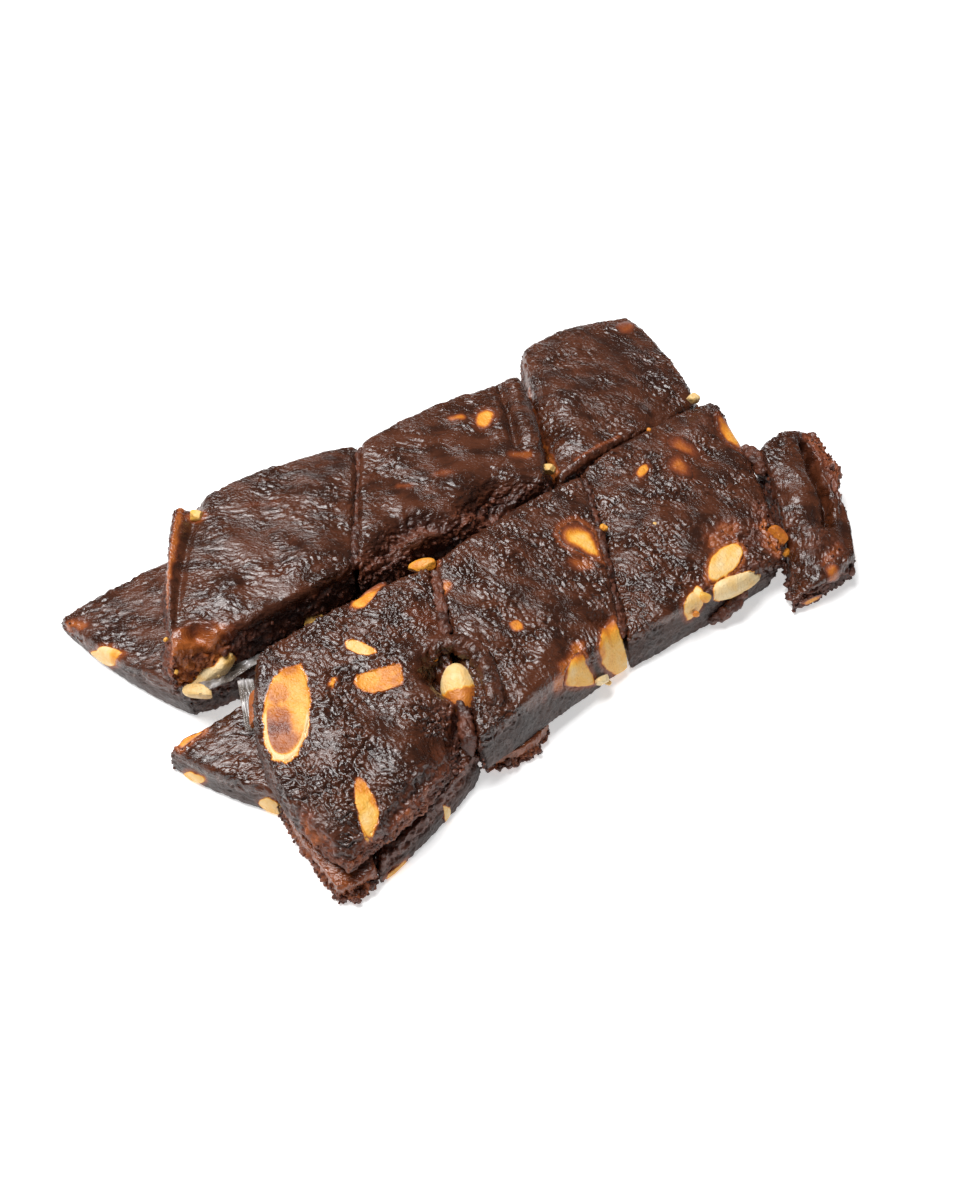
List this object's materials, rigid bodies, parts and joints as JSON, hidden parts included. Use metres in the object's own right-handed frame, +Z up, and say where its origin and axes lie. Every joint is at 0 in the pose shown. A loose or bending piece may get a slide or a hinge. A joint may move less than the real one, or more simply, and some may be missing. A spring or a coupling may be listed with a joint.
{
  "type": "date and nut chikki",
  "caption": "Slab of sticky date paste with nuts, cut into diamonds that keep the slab's shape and lie on a second layer of the same sweet.",
  "frame": {"origin": "on the supporting surface, under the middle of the whole's box", "axes": "+X along the two rows of diamonds, towards the lower end; +Y from the front row to the back row; +Z up"},
  "size_m": [0.181, 0.115, 0.0217],
  "materials": {
    "date_paste": "dark red-brown, wrinkled and glossy",
    "torn_date_paste": "red-brown, crumbly and slightly moist",
    "nut_under_paste": "amber, under a thin film of paste",
    "bare_nut": "cream, dry and cut",
    "clear_film": "clear, thin and creased"
  },
  "bodies": {
    "root": {"top_back_left": "date_paste", "top_back_middle": "date_paste", "top_back_right": "date_paste", "top_front_left": "date_paste", "top_front_middle": "date_paste", "top_front_right": "date_paste", "low_left": "date_paste", "low_middle": "date_paste", "low_front_left": "date_paste", "low_front_middle": "date_paste", "low_front_tip": "torn_date_paste", "low_front_right": "date_paste", "low_crumb_lump": "torn_date_paste", "low_right": "torn_date_paste", "nut_split_almond": "nut_under_paste", "nut_oval": "nut_under_paste", "nut_block": "nut_under_paste", "nut_sliver": "nut_under_paste", "nut_back_edge": "nut_under_paste", "nut_in_hollow": "nut_under_paste", "nut_at_cut": "nut_under_paste", "nut_bright": "nut_under_paste", "nut_small_gold": "nut_under_paste", "nut_front_gold": "nut_under_paste", "nut_front_tall": "nut_under_paste", "nut_yellow": "nut_under_paste", "nut_orange_one": "nut_under_paste", "nut_orange_two": "nut_under_paste", "nut_right_edge": "nut_under_paste", "nut_front_wedge": "nut_under_paste", "nut_back_gold": "nut_under_paste", "nut_back_red": "nut_under_paste", "nut_back_edge_orange": "nut_under_paste", "nut_low_amber": "nut_under_paste", "nut_front_tan": "bare_nut", "nut_front_cream": "bare_nut", "nut_corner_rim": "bare_nut", "nut_low_left": "bare_nut", "nut_low_tan": "bare_nut", "nut_low_pale": "bare_nut", "nut_low_front": "bare_nut", "clear_film": "clear_film"}
  },
  "joints": []
}
